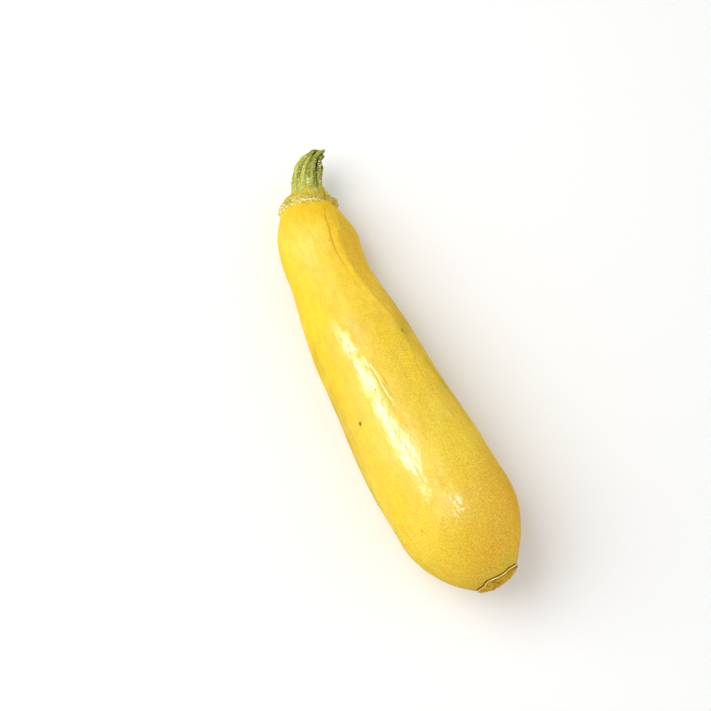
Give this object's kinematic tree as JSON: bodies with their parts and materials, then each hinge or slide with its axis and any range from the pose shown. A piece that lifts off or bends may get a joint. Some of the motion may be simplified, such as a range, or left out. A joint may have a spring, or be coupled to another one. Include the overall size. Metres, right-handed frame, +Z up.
{
  "type": "yellow summer squash",
  "caption": "Straightneck yellow squash lying on its side: a smooth waxy fruit, narrow at the neck and full at the blossom end, with a short ribbed stem.",
  "frame": {"origin": "centre of the bounding box in plan, at the height of the surface that the squash lies on", "axes": "+X from the stem towards the blossom end, +Z up from the surface it lies on, +Y to the side that the stem's tip curls towards"},
  "size_m": [0.206, 0.0532, 0.0507],
  "materials": {
    "skin": "smooth waxy skin with fine pores, semi-gloss, warm yellow deepening to orange-brown at the blossom scar",
    "stalk": "matte fibrous green, ribbed, paling to cream granules at the flared foot, dark at the cut tip"
  },
  "bodies": {
    "root": {"fruit": "skin", "stem": "stalk"}
  },
  "joints": []
}
